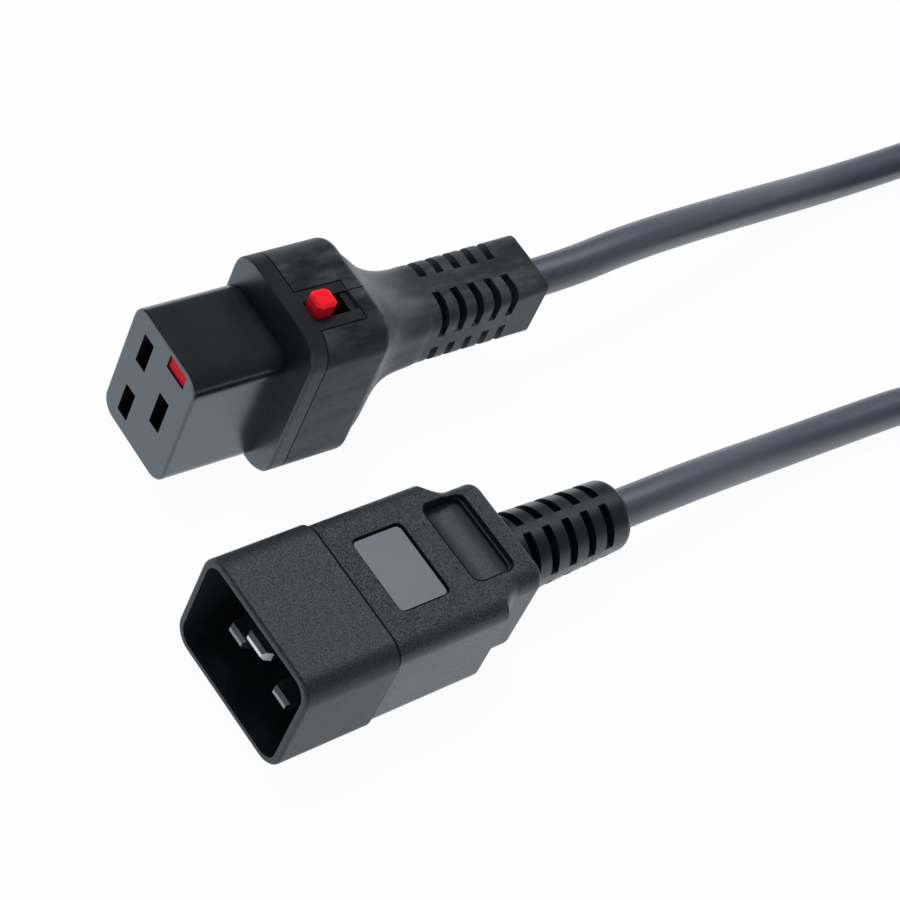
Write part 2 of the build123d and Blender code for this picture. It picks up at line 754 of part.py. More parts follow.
def plug_cores():
    x = PLUG_BARREL_X + BARREL_L
    line_z = PLUG_Z - EARTH_OFFSET / 2
    starts = [
        (x, -CONTACT_PITCH / 2, line_z),
        (x, CONTACT_PITCH / 2, line_z),
        (x, 0, PLUG_Z + EARTH_OFFSET / 2),
    ]
    ends = core_ends(PLUG_JACKET_X, 0, PLUG_Z, 1, (210, 330, 90))
    return [core(s, e) for s, e in zip(starts, ends)]


def plug_jacket():
    return rod(PLUG_JACKET_X, SLEEVE_END, CORD_D, 0, PLUG_Z)


# Cord outside the strain reliefs


def turn_radii(points):
    """Bend radius at each inner point: as large as its two runs allow."""
    radii = []
    for a, b, c in zip(points, points[1:], points[2:]):
        u, v = Vector(*b) - Vector(*a), Vector(*c) - Vector(*b)
        half_turn = math.radians(u.get_angle(v)) / 2
        radii.append(0.45 * min(u.length, v.length) / math.tan(half_turn))
    return radii


def cord_points():
    a0 = CONNECTOR * Pos(RELIEF_END, RELIEF_Y, RELIEF_Z)
    a1 = CONNECTOR * Pos(RELIEF_END + LEAD_OUT, RELIEF_Y, RELIEF_Z)
    b0 = PLUG * Pos(SLEEVE_END, 0, PLUG_Z)
    b1 = PLUG * Pos(SLEEVE_END + LEAD_OUT, 0, PLUG_Z)
    route_a = [tuple(a0.position), tuple(a1.position)] + ROUTE_A
    route_b = [tuple(b0.position), tuple(b1.position)] + ROUTE_B
    return route_a, route_b


def cord_tube(name, points):
    """A cord along straight runs joined by tangent arcs, with its bend radii and volume printed."""
    radii = turn_radii(points)
    path = FilletPolyline(*points, radius=radii)
    solid = tube(path, CORD_D)
    share = solid.volume / (math.pi * CORD_D**2 / 4 * path.length)
    print(name, "radii", [round(r) for r in radii])
    print(name, "length", round(path.length, 1), "volume share", round(share, 4))
    return solid


def cord_coil():
    """The outer shape of the coil that takes up the rest of the cord."""
    outer, inner = COIL_OUTER_R + CORD_D / 2, COIL_INNER_R - CORD_D / 2
    height = CORD_D * COIL_LAYERS
    ring = Pos(COIL_X, COIL_Y, height / 2) * (Cylinder(outer, height) - Cylinder(inner, height))
    return chamfer(ring.edges().filter_by(GeomType.CIRCLE), CORD_D * 0.3)


def build():
    parts = {}
    connector = {
        "connector_housing": connector_housing(),
        "connector_overmould": connector_overmould(),
        "contact_carrier": contact_carrier(),
        "release_slider": release_slider(),
        "lock_pawl": lock_pawl(),
        "pawl_pin": pawl_pin(),
        "pawl_spring": pawl_spring(),
        "connector_line_contact": line_contact(),
        "connector_neutral_contact": neutral_contact(),
        "connector_earth_contact": earth_contact(),
        "connector_jacket_end": connector_jacket(),
    }
    for name, solid in zip(("line", "neutral", "earth"), connector_cores()):
        connector["connector_" + name + "_core"] = solid
    plug = {
        "plug_shroud": plug_shroud(),
        "plug_overmould": plug_overmould(),
        "plug_line_blade": line_blade(),
        "plug_neutral_blade": neutral_blade(),
        "plug_earth_blade": earth_blade(),
        "plug_jacket_end": plug_jacket(),
    }
    for name, solid in zip(("line", "neutral", "earth"), plug_cores()):
        plug["plug_" + name + "_core"] = solid
    for name, solid in connector.items():
        parts[name] = CONNECTOR * solid
    for name, solid in plug.items():
        parts[name] = PLUG * solid
    route_a, route_b = cord_points()
    coil = cord_coil()
    parts["cord_connector_side"] = cord_tube("connector side", route_a) - coil
    parts["cord_plug_side"] = cord_tube("plug side", route_b) - coil
    parts["cord_coil"] = coil
    return parts


os.makedirs("parts", exist_ok=True)
for node, shape in build().items():
    export_step(shape, "parts/" + node + ".step")
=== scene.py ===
# %% [markdown]
# # A locking power cord
#
# The frame is the measured model of the cord: a locking connector with a red release, a shrouded plug,
# and the round cord between them. It is loaded first and never moved. This lesson dresses it: the
# camera and the cord come first, then one moulded, plated or sheathed finish at a time. The floor and the
# light come last.

# %% Load the frame
import math

import bpy
import numpy as np
from mathutils import Matrix, Vector


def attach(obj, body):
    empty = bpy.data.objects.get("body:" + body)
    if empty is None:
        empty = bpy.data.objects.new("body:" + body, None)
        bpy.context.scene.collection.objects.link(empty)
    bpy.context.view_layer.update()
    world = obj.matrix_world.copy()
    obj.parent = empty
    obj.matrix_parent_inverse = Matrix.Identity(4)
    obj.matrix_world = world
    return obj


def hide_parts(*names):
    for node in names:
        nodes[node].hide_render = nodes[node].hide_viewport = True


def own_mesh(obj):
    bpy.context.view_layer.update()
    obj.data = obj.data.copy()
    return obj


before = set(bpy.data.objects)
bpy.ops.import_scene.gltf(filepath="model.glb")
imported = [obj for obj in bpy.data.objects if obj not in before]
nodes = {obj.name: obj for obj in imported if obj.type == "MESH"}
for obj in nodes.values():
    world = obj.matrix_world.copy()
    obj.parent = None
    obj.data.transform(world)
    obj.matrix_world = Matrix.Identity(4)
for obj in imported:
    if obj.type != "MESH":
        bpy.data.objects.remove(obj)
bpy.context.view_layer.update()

# %% [markdown]
# ## The camera
#
# The photograph looks down on the two ends from in front and from the left, through a long lens, and the
# camera is rolled a little so that the cord leaves at the upper right. Position and direction come from
# the contact pattern, whose spacing is known. A matrix with right, up and backward axes as its columns
# places the camera in one step.

# %% Camera
EYE = Vector((-0.24621, -0.17906, 0.33735))
LOOK = Vector((0.5732, 0.3967, -0.7170)).normalized()
UP = Vector((0.2565, 0.7441, 0.6168)).normalized()
FOCAL_MM = 104.0
SENSOR_MM = 36.0

lens = bpy.data.cameras.new("camera")
lens.lens = FOCAL_MM
lens.sensor_width = SENSOR_MM
lens.clip_start = 0.01
camera = bpy.data.objects.new("camera", lens)
right = LOOK.cross(UP).normalized()
upright = right.cross(LOOK).normalized()
camera.matrix_world = Matrix.Translation(EYE) @ Matrix((right, upright, -LOOK)).transposed().to_4x4()
bpy.context.scene.collection.objects.link(camera)
bpy.context.scene.camera = camera
print("camera at", tuple(round(v, 3) for v in EYE))

# %% [markdown]
# ## The cord's route
#
# The cord is one length of stiff, round, sheathed cable. It leaves each strain relief straight, sinks to
# the floor under its own weight and runs out of the picture. What the picture doesn't show is wound into
# a neat round coil just past its edge. A NURBS spline of order 3 passes near its control points without
# kinks, which is how such a cable bends, so the route is only those points.

# %% Route points, in metres
FROM_CONNECTOR = [
    (0.0457, 0.0268, 0.0175), (0.0572, 0.0268, 0.0175), (0.0730, 0.0287, 0.0171),
    (0.0930, 0.0309, 0.0146), (0.1160, 0.0338, 0.0102), (0.1390, 0.0367, 0.0056),
    (0.1600, 0.0383, 0.0038), (0.1800, 0.0390, 0.0042), (0.2000, 0.0366, 0.0096),
    (0.2175, 0.0292, 0.0182),
]
TO_PLUG = [
    (0.1470, -0.0262, 0.0037), (0.1270, -0.0168, 0.0037), (0.1040, -0.0166, 0.00375),
    (0.0820, -0.0176, 0.0057), (0.0615, -0.0194, 0.0096), (0.046254, -0.020549, 0.0114),
    (0.03476, -0.02091, 0.0114),
]
print("points given", len(FROM_CONNECTOR), "and", len(TO_PLUG))

# %% [markdown]
# ## The coil
#
# A coil of stiff cord lies in flat layers: the turns of one layer run inwards and those of the next run
# outwards again. Drawing some hundred and fifty points by hand would never be even, so one formula over
# the angle gives them all. The cord comes in on the top layer and leaves along the floor.

# %% Coil points
CORD_D = 0.0074
COIL_CENTRE = (0.200, -0.015)
COIL_OUTER_R = 0.0450
COIL_INNER_R = 0.0328
COIL_LAYERS = 4
START_DEG = 47.0
END_DEG = -135.0
WHOLE_TURNS = 6
PER_TURN = 24
STEP_DOWN = 0.2


def coil_points():
    """Turns of the coil: the radius goes in and out as a triangle wave while the layers go down in steps.

    The layer runs from 0 to the number of layers. The radius goes from outer to inner over one layer and
    back over the next. The height stays level along a layer and falls by one cord width where the radius
    turns back, so that each turn lies beside or on the last one. The fall takes a fifth of a turn. The
    points stand a little outside the wanted radius, because a spline of order 3 touches the middles of
    the lines between its points: the radius is divided by the cosine of half a step.
    """
    sweep = math.radians(360.0 * WHOLE_TURNS + START_DEG - END_DEG)
    count = int(round(sweep / (2 * math.pi) * PER_TURN))
    u = np.linspace(0.0, 1.0, count + 1)
    angle = math.radians(START_DEG) - sweep * u
    layer = u * COIL_LAYERS
    inward = np.abs((layer % 2.0) - np.where(layer % 2.0 > 1.0, 2.0, 0.0))
    radius = COIL_OUTER_R + (COIL_INNER_R - COIL_OUTER_R) * inward
    radius = radius / math.cos(math.pi / PER_TURN)
    turns_per_layer = sweep / (2 * math.pi) / COIL_LAYERS
    nearest = np.floor(layer + 0.5)
    ramp = np.clip((layer - nearest) * turns_per_layer / STEP_DOWN + 0.5, 0.0, 1.0)
    inside = (nearest >= 1) & (nearest <= COIL_LAYERS - 1)
    down = np.where(inside, nearest - 1 + ramp, np.where(nearest < 1, 0.0, COIL_LAYERS - 1.0))
    height = CORD_D * (COIL_LAYERS - 0.5 - down)
    x = COIL_CENTRE[0] + radius * np.cos(angle)
    y = COIL_CENTRE[1] + radius * np.sin(angle)
    return np.stack([x, y, height], axis=1)


turns = coil_points()
route = np.concatenate([np.array(FROM_CONNECTOR), turns, np.array(TO_PLUG)])
print("route points", len(route), "coil height", round(float(turns[:, 2].max()), 4))

# %% [markdown]
# ## The cord as a curve
#
# A curve with a round bevel is the lightest way to make a cord, and it keeps one even thickness along
# every bend. The thickness is given point by point as the points' radius, so that the curve's box has
# the cord's true size. The order is set after the points are added, because a spline with fewer points
# than its order falls back to straight runs.

# %% Cord curve
curve = bpy.data.curves.new("cord", "CURVE")
curve.dimensions = "3D"
spline = curve.splines.new("NURBS")
spline.points.add(len(route) - 1)
spline.points.foreach_set("co", np.c_[route, np.ones(len(route))].astype(np.float32).ravel())
spline.points.foreach_set("radius", np.full(len(route), CORD_D / 2, dtype=np.float32))
spline.order_u = 3
spline.use_endpoint_u = True
spline.resolution_u = 6
curve.bevel_depth = 1.0
curve.bevel_resolution = 6
curve.use_fill_caps = True
cord = bpy.data.objects.new("cord", curve)
bpy.context.scene.collection.objects.link(cord)
print("cord drawn through", len(spline.points), "points")

# %% [markdown]
# ## How long the cord is
#
# Such a cord is sold by its length, so the curve's length is measured. Blender draws a curve without a
# bevel as a plain line of points, and the sum of the steps between them is the length. The line and the
# copy it is drawn from are only a probe, so they are removed again.


# %% Cord length
def length_of(shape):
    """The sum of the distances between neighbouring points of the curve, drawn without its bevel."""
    bare = shape.copy()
    bare.bevel_depth = 0.0
    probe = bpy.data.objects.new("cord_line", bare)
    bpy.context.scene.collection.objects.link(probe)
    bpy.context.view_layer.update()
    line = bpy.data.meshes.new_from_object(probe)
    points = np.zeros(len(line.vertices) * 3)
    line.vertices.foreach_get("co", points)
    steps = np.diff(points.reshape(-1, 3), axis=0)
    bpy.data.objects.remove(probe)
    bpy.data.meshes.remove(line)
    bpy.data.curves.remove(bare)
    return float(np.linalg.norm(steps, axis=1).sum())


print("cord length", round(length_of(curve), 4))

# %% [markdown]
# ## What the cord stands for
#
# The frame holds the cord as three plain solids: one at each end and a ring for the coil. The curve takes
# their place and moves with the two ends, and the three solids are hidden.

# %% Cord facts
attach(cord, "cord_set")
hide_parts("cord_connector_side", "cord_plug_side", "cord_coil")

# %% [markdown]
# ## Shader maths in words
#
# Every finish below is a small formula over the surface: a noise here, a ramp there, multiplied and
# added. Drawn by hand, that is a tangle of Math nodes. A class that wraps a socket lets those formulas be
# written as Python expressions instead, and each expression adds its own nodes.


# %% Socket arithmetic
class Value:
    """A number that varies over the surface: a socket with arithmetic."""

    def __init__(self, tree, socket):
        """Keeps the socket and its tree, so that every new node goes into the same tree."""
        self.tree = tree
        self.socket = socket

    def math(self, operation, *others):
        """One Math node: the operation on this value and the others, each a value or a plain number."""
        node = self.tree.nodes.new("ShaderNodeMath")
        node.operation = operation
        for i, item in enumerate((self,) + others):
            if isinstance(item, Value):
                self.tree.links.new(item.socket, node.inputs[i])
            else:
                node.inputs[i].default_value = float(item)
        return Value(self.tree, node.outputs[0])

    def __add__(self, other):
        """This value plus another."""
        return self.math("ADD", other)

    __radd__ = __add__

    def __mul__(self, other):
        """This value times another."""
        return self.math("MULTIPLY", other)

    __rmul__ = __mul__

    def __sub__(self, other):
        """This value less another."""
        return self.math("SUBTRACT", other)

    def __rsub__(self, other):
        """A plain number less this value: the value times minus one, plus the number."""
        return self.math("MULTIPLY_ADD", -1.0, other)

    def clip(self, low, high):
        """Rises from 0 at low to 1 at high along a smooth step, and stays there."""
        node = self.tree.nodes.new("ShaderNodeMapRange")
        node.interpolation_type = "SMOOTHSTEP"
        self.tree.links.new(self.socket, node.inputs["Value"])
        node.inputs["From Min"].default_value = low
        node.inputs["From Max"].default_value = high
        return Value(self.tree, node.outputs["Result"])


print("values can be added, multiplied and clipped")

# %% [markdown]
# ## A finish and its nodes
#
# A finish is one material: where a point is, which way it faces, and the nodes that turn these into a
# colour, a roughness and a relief. Places are in metres in the frame's own directions, so a noise has the
# same grain on every piece, whatever the piece's size.


# %% Finish class
class Finish:
    """One material: its node tree, its principled shader and short ways to add nodes."""

    def __init__(self, name):
        """Makes the material and splits place and facing into x, y and z."""
        self.material = bpy.data.materials.new(name)
        self.material.use_nodes = True
        self.tree = self.material.node_tree
        self.shader = self.tree.nodes["Principled BSDF"]
        coords = self.tree.nodes.new("ShaderNodeTexCoord")
        self.place = coords.outputs["Object"]
        parts = self.node("ShaderNodeSeparateXYZ", Vector=self.place)
        self.x, self.y, self.z = (Value(self.tree, s) for s in parts.outputs)
        facing = self.node("ShaderNodeSeparateXYZ", Vector=coords.outputs["Normal"])
        self.facing_up = Value(self.tree, facing.outputs[2])

    def fill(self, node, inputs):
        """Puts a value, a link or a plain number into each socket of a node, found by its name."""
        for key, value in inputs.items():
            socket = node.inputs[key.replace("_", " ")]
            if isinstance(value, Value):
                self.tree.links.new(value.socket, socket)
            elif isinstance(value, bpy.types.NodeSocket):
                self.tree.links.new(value, socket)
            else:
                socket.default_value = value

    def node(self, kind, **inputs):
        """A node of a kind, with its sockets filled by name."""
        node = self.tree.nodes.new(kind)
        self.fill(node, inputs)
        return node

    def set(self, **inputs):
        """Fills the shader's own sockets by name and gives the material back."""
        self.fill(self.shader, inputs)
        return self.material

    def gloss(self, level, tint, bend=1.5):
        """How strongly the surface mirrors: a level, a tint and the index by which it bends light."""
        self.shader.inputs["Specular IOR Level"].default_value = level
        self.shader.inputs["Specular Tint"].default_value = (*tint, 1.0)
        self.shader.inputs["IOR"].default_value = bend

    def noise(self, scale, detail=2.0, rough=0.5, stretch=(1, 1, 1)):
        """Cloudy noise between 0 and 1. Scale is in features per metre."""
        place = self.node("ShaderNodeMapping", Vector=self.place, Scale=stretch).outputs["Vector"]
        node = self.node("ShaderNodeTexNoise", Vector=place, Scale=scale, Detail=detail, Roughness=rough)
        return Value(self.tree, node.outputs[0])

    def cells(self, scale):
        """Distance to the nearest grain. Scale is in grains per metre."""
        node = self.node("ShaderNodeTexVoronoi", Vector=self.place, Scale=scale)
        return Value(self.tree, node.outputs["Distance"])

    def blend(self, share, first, second):
        """A colour between two colours: the first at share 0, the second at share 1."""
        node = self.tree.nodes.new("ShaderNodeMix")
        node.data_type = "RGBA"
        factor, start, end = node.inputs[0], node.inputs[6], node.inputs[7]
        self.tree.links.new(share.socket, factor)
        for socket, item in ((start, first), (end, second)):
            if isinstance(item, bpy.types.NodeSocket):
                self.tree.links.new(item, socket)
            else:
                socket.default_value = (*item, 1.0)
        return node.outputs[2]

    def bump(self, height, depth, strength=1.0, under=None):
        """Turns a height between 0 and 1 into relief of a depth in metres, over any relief under it."""
        node = self.node("ShaderNodeBump", Height=height, Distance=depth, Strength=strength)
        if under is not None:
            self.tree.links.new(under, node.inputs["Normal"])
        return node.outputs["Normal"]


def dress(names, material):
    """Gives each CAD node or piece one material."""
    for name in names:
        item = nodes[name] if isinstance(name, str) else name
        item.data.materials.clear()
        item.data.materials.append(material)
    print(material.name, "on", len(names))


# %% [markdown]
# ## Moulded housings
#
# The connector's housing is a hard black nylon from a polished mould. It has almost no colour of its own:
# what makes it readable is what it mirrors, so the colour is very dark with a blue cast, the surface is
# fairly smooth and the reflection is stronger than on common plastic. Faint flow clouds change
# the roughness more than the colour, because that is where the eye reads a moulded surface. The band at
# the front of the collar is the same nylon, but its part of the mould left it duller.

# %% Housing nylon
CLOUDS = (0.3, 0.75)
NYLON_TONES = ((0.0110, 0.0145, 0.0170), (0.0160, 0.0205, 0.0235))
COLLAR_X = -0.0150
COLLAR_FADE = 0.0006

nylon = Finish("housing_nylon")
cloud = nylon.noise(85.0, 3.0, 0.55)
flow = nylon.noise(60.0, 4.0, 0.6, (0.35, 1.0, 1.6))
speck = nylon.noise(5200.0, 2.0, 0.6)
dull = nylon.x.clip(COLLAR_X, COLLAR_X + COLLAR_FADE)
nylon.set(
    Base_Color=nylon.blend(cloud.clip(*CLOUDS), *NYLON_TONES),
    Roughness=0.19 + flow * 0.07 + speck * 0.04 + dull * 0.30,
    Normal=nylon.bump(speck, 0.00002, 0.3, nylon.bump(flow, 0.00010, 0.2)),
)
nylon.gloss(1.0, (0.76, 0.90, 1.0))
dress(["connector_housing"], nylon.material)

# %% [markdown]
# ## Overmould
#
# The rest of the collar, the flare and the strain relief are moulded over the housing in a softer black
# compound. It is duller, and handling leaves wipe marks on it: pale clouds and thin streaks that run
# along the flow of the material. Two noises, one of them stretched along the part, make them. On the flare
# the colour is painted lighter as well, a painted sheen for the light its faces mirror, fading towards the
# strain relief.

# %% Overmould compound
COMPOUND_TONES = ((0.0145, 0.0180, 0.0205), (0.0560, 0.0630, 0.0680))
# Painted sheen: lighter tones that stand in for the light mirrored by the flare's faces.
FLARE_SHEEN_TONES = ((0.0600, 0.0670, 0.0750), (0.1080, 0.1180, 0.1290))
FLARE_START = (0.0015, 0.0050)
FLARE_END = (0.0120, 0.0230)

soft = Finish("overmould_compound")
smear = soft.noise(150.0, 5.0, 0.68, (0.5, 1.0, 1.3))
streak = soft.noise(420.0, 4.0, 0.7, (0.22, 1.0, 1.0))
pore = soft.noise(4300.0, 2.0, 0.6)
mark = (smear * 0.65 + streak * 0.35).clip(0.40, 0.66)
tone = soft.blend(mark, *COMPOUND_TONES)
flare_sheen = soft.blend(mark, *FLARE_SHEEN_TONES)
# Painted sheen: the flare gets the lighter tones, and a fifth of them stays past its end.
flare = soft.x.clip(*FLARE_START) * (1 - soft.x.clip(*FLARE_END) * 0.8)
soft.set(
    Base_Color=soft.blend(flare, tone, flare_sheen),
    Roughness=0.38 + mark * 0.14 + pore * 0.05,
    Normal=soft.bump(pore, 0.00002, 0.35, soft.bump(smear, 0.00010, 0.22)),
)
soft.gloss(0.5, (0.78, 0.90, 1.0), 1.38)
dress(["connector_overmould"], soft.material)

# %% [markdown]
# ## Finding places on the plug
#
# The plug's finish changes from place to place: a polished panel with a painted sheen, a smooth sleeve,
# thin lines of painted shade. Painting masks by hand would need an unwrapped mesh, so each mask is worked
# out from the place instead, in the plug's own directions. The plug lies turned by a degree or two, so its
# directions are turned back first.

# %% Plug directions
PLUG_MOUTH = (-0.0452, -0.02342)
PLUG_TURN = math.radians(1.8)


def plug_directions(finish):
    """Distances along and across the plug: the offset from its mouth, turned back by its angle."""
    from_x = finish.x - PLUG_MOUTH[0]
    from_y = finish.y - PLUG_MOUTH[1]
    ahead = from_x * math.cos(PLUG_TURN) + from_y * math.sin(PLUG_TURN)
    across = from_y * math.cos(PLUG_TURN) - from_x * math.sin(PLUG_TURN)
    return ahead, across


def between(value, low, high, soft_edge):
    """1 between two limits and 0 outside: a rise up to low times one less a rise past high."""
    return value.clip(low - soft_edge, low) * (1 - value.clip(high, high + soft_edge))


def outside_rounded(ahead, across, centre, half, radius):
    """How far a place lies outside a rounded rectangle, below 0 inside it.

    The overhang past the corners' centres is taken in both directions, 0 where there is none. Its length
    less the corner's radius is the distance.
    """
    past_x = ((ahead - centre[0]).math("ABSOLUTE") - (half[0] - radius)).math("MAXIMUM", 0.0)
    past_y = ((across - centre[1]).math("ABSOLUTE") - (half[1] - radius)).math("MAXIMUM", 0.0)
    return (past_x * past_x + past_y * past_y).math("SQRT") - radius


grain = Finish("plug_plastic")
along, aside = plug_directions(grain)
print("plug turned by", round(math.degrees(PLUG_TURN), 2), "degrees")

# %% [markdown]
# ## Zones of the plug
#
# The panel on top was polished in the mould, and its grey is painted lighter as a painted sheen for part
# of what it mirrors. The shroud has a finer grain than the body, and the sleeve behind the body is smooth.
# Fingers and the mould keep the floor of the finger recess smoother too. Where the body meets the shroud
# and round the recess's edge, thin dark lines of painted shade stand for the shade in these narrow places.

# %% Plug zones
PANEL_X = (0.02372, 0.03358)
PANEL_Y = (-0.00708, 0.00758)
PANEL_Z = (0.02165, 0.02185)
PANEL_EDGE = 0.00005
PANEL_Z_EDGE = 0.00003
SLEEVE_X = (0.0520, 0.0522)
SEAM_X = (0.01848, 0.01922)
SHROUD_FADE = 0.0001
GRIP_CENTRE = (0.0434, 0.00085)
GRIP_HALF = (0.0043, 0.00835)
GRIP_R = 0.0017
BOWL_FADE = 0.0002
RIM_W = 0.00025
LINE_EDGE = 0.00006
TOP_Z = (0.02205, 0.02215)
BELOW_TOP_Z = (0.02185, 0.02205)

panel = between(along, *PANEL_X, PANEL_EDGE) * between(aside, *PANEL_Y, PANEL_EDGE)
panel = panel * between(grain.z, *PANEL_Z, PANEL_Z_EDGE)
sleeve = along.clip(*SLEEVE_X)
shroud = 1 - along.clip(SEAM_X[0] - SHROUD_FADE, SEAM_X[0])
from_edge = outside_rounded(along, aside, GRIP_CENTRE, GRIP_HALF, GRIP_R)
bowl = (1 - from_edge.clip(-BOWL_FADE, 0.0)) * (1 - grain.z.clip(*BELOW_TOP_Z))
rim_shade = between(from_edge, 0.0, RIM_W, LINE_EDGE) * grain.z.clip(*TOP_Z)
seam_shade = between(along, *SEAM_X, LINE_EDGE) * (1 - sleeve)
# Painted shade: the seam and the recess's rim, where thin dark lines are painted for their shade.
crevice_shade = rim_shade.math("MAXIMUM", seam_shade)
upward = 0.35 + grain.facing_up.clip(0.3, 0.9) * 0.65
print("zones: panel, sleeve, shroud, bowl, crevice")

# %% [markdown]
# ## Grained plug
#
# The plug has a spark-eroded grain: small round pits, about a quarter of a millimetre apart, that break
# up the reflection and leave light and dark specks. Cells give the pits and a finer noise gives the
# sparkle between them. The grain shows most on faces that look up, because the side walls of a mould are
# drawn smooth when it opens. Where the grain is dark it is rough as well, so that dark specks mirror less.

# %% Plug plastic
SKIN_TONES = ((0.0020, 0.0026, 0.0030), (0.0380, 0.0440, 0.0480))
SLEEVE_TONES = ((0.0090, 0.0110, 0.0120), (0.0150, 0.0175, 0.0190))
# Painted sheen: the panel's lighter grey stands in for part of what its polished face mirrors.
PANEL_SHEEN_TONES = ((0.106, 0.118, 0.130), (0.124, 0.137, 0.150))
# Painted shade: a near black for the thin lines at the seam and round the recess.
CREVICE_SHADE_TONE = (0.0010, 0.0012, 0.0014)

pebble = grain.cells(4200.0)
fine = grain.noise(3500.0, 3.0, 0.7)
drift = grain.noise(75.0, 3.0, 0.5)
grained = (1 - panel) * (1 - sleeve * 0.8) * (1 - shroud * 0.35) * (1 - bowl * 0.7) * upward
speckle = pebble * 0.4 + fine * 0.6
spot = speckle.clip(0.33, 0.63)
skin = grain.blend(0.5 + (spot - 0.5) * grained, *SKIN_TONES)
smooth = grain.blend(drift.clip(*CLOUDS), *SLEEVE_TONES)
panel_sheen = grain.blend(drift.clip(*CLOUDS), *PANEL_SHEEN_TONES)
moulded = grain.blend(panel, grain.blend(sleeve, skin, smooth), panel_sheen)
dulling = grained * (1 - spot) * 0.36 + shroud * (1 - upward) * 0.24 + crevice_shade * 0.5
grain.set(
    Base_Color=grain.blend(crevice_shade, moulded, CREVICE_SHADE_TONE),
    Roughness=0.26 + drift * 0.08 + dulling,
    Normal=grain.bump(speckle * grained, 0.00012, 1.0),
)
grain.gloss(0.6, (0.80, 0.91, 1.0), 1.43)
dress(["plug_shroud", "plug_overmould"], grain.material)

# %% [markdown]
# ## Cord jacket
#
# The jacket is a blue-grey compound with a slightly waxy surface. It is bluer than the plastics, and a
# soft highlight runs along its upper side. Long, soft changes along the cord and a very fine roughness
# keep it from looking like a drawn tube.

# %% Jacket
JACKET_TONES = ((0.045, 0.055, 0.080), (0.059, 0.071, 0.099))

jacket = Finish("cord_jacket")
long_change = jacket.noise(26.0, 3.0, 0.5)
scuff = jacket.noise(1500.0, 2.0, 0.6)
jacket.set(
    Base_Color=jacket.blend(long_change.clip(*CLOUDS), *JACKET_TONES),
    Roughness=0.32 + scuff * 0.08 + long_change * 0.06,
    Normal=jacket.bump(scuff, 0.00002, 0.3, jacket.bump(long_change, 0.0004, 0.2)),
)
jacket.gloss(1.0, (1.0, 1.0, 1.0))
dress(
    ["connector_jacket_end", "plug_jacket_end", "cord_connector_side", "cord_plug_side", "cord_coil", cord],
    jacket.material,
)

# %% [markdown]
# ## Red release
#
# The slider is one piece of signal red plastic, from the face in the nose to the button on the collar. It
# is a clear, strong colour, so the noise moves it only a little, and a soft bump stands for the texture
# of its mould. The face in the nose lies in the shade of its window, so its red is painted brighter there:
# painted light that makes up for that shade.

# %% Release plastic
RED_TONES = ((0.80, 0.0120, 0.0230), (0.90, 0.0170, 0.0310))
# Painted light: a brighter red for the face in the window, against the window's shade.
WINDOW_RED_PAINTED_LIGHT = (1.0, 0.0100, 0.0220)
WINDOW_X = (-0.0440, -0.0420)

red = Finish("release_red")
mottle = red.noise(420.0, 3.0, 0.55)
button_red = red.blend(mottle.clip(0.3, 0.8), *RED_TONES)
red.set(
    Base_Color=red.blend(1 - red.x.clip(*WINDOW_X), button_red, WINDOW_RED_PAINTED_LIGHT),
    Roughness=0.46 + mottle * 0.12,
    Normal=red.bump(mottle, 0.00004, 0.3),
)
red.gloss(0.2, (1.0, 1.0, 1.0), 1.3)
dress(["release_slider"], red.material)

# %% [markdown]
# ## Metal
#
# The plug's blades are brass under bright nickel, drawn along their length, so the noise is stretched that
# way. The contacts in the connector are tinned and duller, and the pawl, its pin and its spring are plain
# steel. Each is one formula with its own colours and roughness.


# %% Metals
def metal(name, dark, bright, rough, stretch):
    """A metal with rub marks: one stretched noise moves the colour, the roughness and a slight relief."""
    finish = Finish(name)
    rub = finish.noise(900.0, 3.0, 0.6, stretch)
    finish.set(
        Base_Color=finish.blend(rub.clip(0.3, 0.8), dark, bright),
        Metallic=1.0,
        Roughness=rough + rub * 0.16,
        Normal=finish.bump(rub, 0.00003, 0.3),
    )
    return finish.material


nickel = metal("nickel_plate", (0.50, 0.51, 0.52), (0.66, 0.67, 0.68), 0.26, (0.12, 1.0, 1.0))
tin = metal("tinned_contact", (0.42, 0.40, 0.36), (0.58, 0.55, 0.49), 0.36, (0.2, 1.0, 1.0))
steel = metal("spring_steel", (0.30, 0.30, 0.31), (0.44, 0.44, 0.45), 0.30, (1.0, 1.0, 0.3))
dress(["plug_line_blade", "plug_neutral_blade", "plug_earth_blade"], nickel)
dress(["connector_line_contact", "connector_neutral_contact", "connector_earth_contact"], tin)
dress(["lock_pawl", "pawl_pin", "pawl_spring"], steel)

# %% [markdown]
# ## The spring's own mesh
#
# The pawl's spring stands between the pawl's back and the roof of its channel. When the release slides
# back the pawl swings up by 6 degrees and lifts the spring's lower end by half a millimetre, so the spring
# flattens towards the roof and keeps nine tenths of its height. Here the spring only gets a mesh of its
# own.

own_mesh(nodes["pawl_spring"])

# %% [markdown]
# ## Cores
#
# The three cores inside the jacket have the usual colours: brown, blue, and green with a yellow stripe.
# They are hidden, but the part can be taken apart, so each has its own insulation. A sine over height and
# width makes the stripe.

# %% Core insulation
CORE_TONES = {
    "line": ((0.10, 0.035, 0.014), (0.15, 0.055, 0.022)),
    "neutral": ((0.012, 0.05, 0.30), (0.02, 0.08, 0.40)),
    "earth": ((0.03, 0.22, 0.02), (0.55, 0.50, 0.03)),
}
STRIPES_PER_M = 700.0

